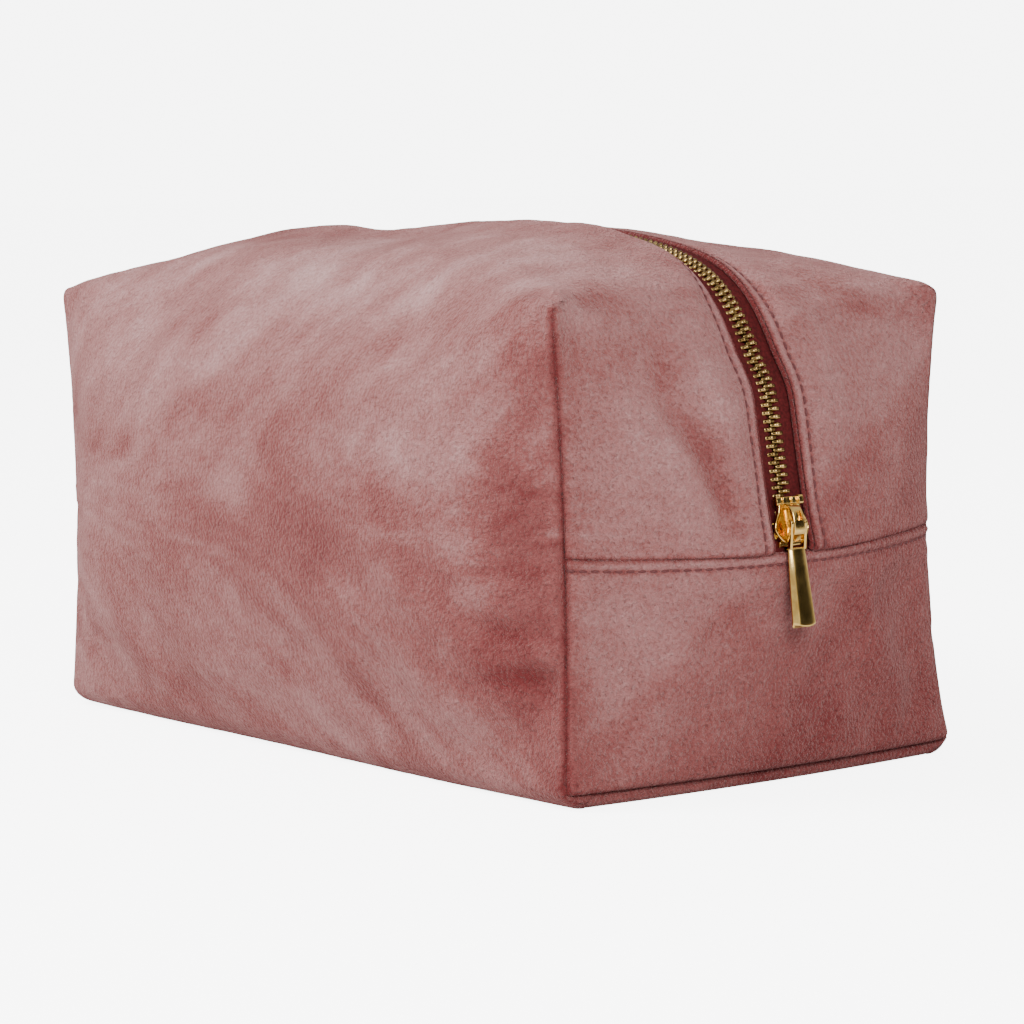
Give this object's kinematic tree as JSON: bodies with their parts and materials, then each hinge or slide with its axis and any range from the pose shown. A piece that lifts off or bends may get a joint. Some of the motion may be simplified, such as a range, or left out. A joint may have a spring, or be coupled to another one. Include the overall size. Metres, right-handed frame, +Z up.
{
  "type": "makeup bag",
  "caption": "Padded box-shaped velvet makeup bag with a metal zip that runs over the top and part way down both ends, with a slider and hanging puller.",
  "frame": {"origin": "middle of the base, on the surface the bag stands on", "axes": "+X along the bag towards the end with the slider, -Y towards the front, +Z up"},
  "size_m": [0.2606, 0.1546, 0.1383],
  "materials": {
    "velvet": "short-pile dusty rose velvet with a cloudy nap",
    "padding": "off-white polyester wadding",
    "lining": "smooth woven satin lining, dusty rose",
    "zip_tape": "herringbone woven tape, dark red",
    "gold_metal": "polished pale gold plating"
  },
  "bodies": {
    "bag": {"lining_back": "lining", "lining_base": "lining", "lining_end_left": "lining", "lining_end_right": "lining", "lining_front": "lining", "padding_back": "padding", "padding_base": "padding", "padding_end_left": "padding", "padding_end_right": "padding", "padding_front": "padding", "velvet_back": "velvet", "velvet_base": "velvet", "velvet_end_left": "velvet", "velvet_end_right": "velvet", "velvet_front": "velvet", "velvet_gusset_left_back": "velvet", "velvet_gusset_left_front": "velvet", "velvet_gusset_right_back": "velvet", "velvet_gusset_right_front": "velvet", "zip_bottom_stop": "gold_metal", "zip_tape_left_back": "zip_tape", "zip_tape_left_front": "zip_tape", "zip_tape_right_back": "zip_tape", "zip_tape_right_front": "zip_tape", "zip_teeth_left_back": "gold_metal", "zip_teeth_left_front": "gold_metal", "zip_teeth_right_back": "gold_metal", "zip_teeth_right_front": "gold_metal", "zip_top_stops": "gold_metal"},
    "front_flap": {"lining_flap_front": "lining", "padding_flap_front": "padding", "velvet_flap_front": "velvet", "velvet_flap_front_end_left": "velvet", "velvet_flap_front_end_right": "velvet", "zip_tape_top_front": "zip_tape", "zip_teeth_top_front": "gold_metal"},
    "back_flap": {"lining_flap_back": "lining", "padding_flap_back": "padding", "velvet_flap_back": "velvet", "velvet_flap_back_end_left": "velvet", "velvet_flap_back_end_right": "velvet", "zip_tape_top_back": "zip_tape", "zip_teeth_top_back": "gold_metal"},
    "slider": {"slider_body": "gold_metal", "slider_crown": "gold_metal", "slider_lock": "gold_metal"},
    "puller": {"puller": "gold_metal"}
  },
  "joints": [
    {"name": "front_flap_open", "type": "hinge", "parent": "bag", "child": "front_flap", "pos_m": [0, -0.0739, 0.096], "axis": [1, 0, 0], "range_deg": [0, 32]},
    {"name": "back_flap_open", "type": "hinge", "parent": "bag", "child": "back_flap", "pos_m": [0, 0.0739, 0.096], "axis": [-1, 0, 0], "range_deg": [0, 32]},
    {"name": "slider_travel", "type": "slide", "parent": "bag", "child": "slider", "axis": [-0.1802, 0, 0.9836], "range_m": [0, 0.0232]},
    {"name": "puller_swing", "type": "hinge", "parent": "slider", "child": "puller", "pos_m": [0.12866, 0, 0.0659], "axis": [0, -1, 0], "range_deg": [0, 150]}
  ]
}
